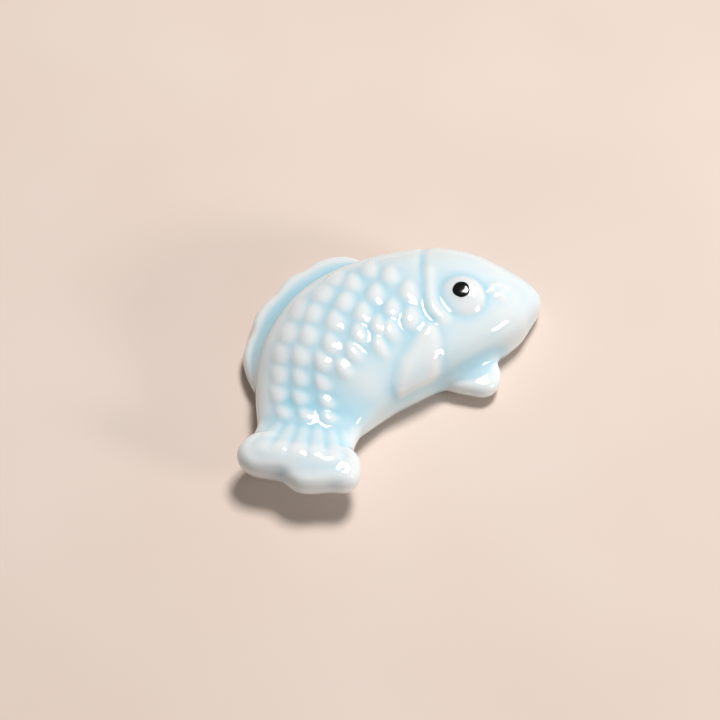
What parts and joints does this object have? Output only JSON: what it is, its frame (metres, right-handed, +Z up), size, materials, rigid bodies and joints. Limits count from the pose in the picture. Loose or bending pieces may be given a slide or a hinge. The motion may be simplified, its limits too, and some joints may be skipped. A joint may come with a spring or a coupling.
{
  "type": "chopstick rest",
  "caption": "Glazed porcelain rest shaped as a carp lying on its side, its tail turned up to keep chopsticks in the dip at the tail root.",
  "frame": {"origin": "centre of the bounding box on the table plane", "axes": "+X towards the head along the length, +Y towards the back fin, +Z up from the foot"},
  "size_m": [0.07, 0.0484, 0.0158],
  "materials": {
    "bisque": "unglazed fired porcelain, dry and matt",
    "celadon_glaze": "glossy pale blue-white glaze, bluer where it pools",
    "black_enamel": "glossy black overglaze enamel"
  },
  "bodies": {
    "root": {"porcelain_body": "bisque", "glaze_coat": "celadon_glaze", "eye_pupil": "black_enamel"}
  },
  "joints": []
}
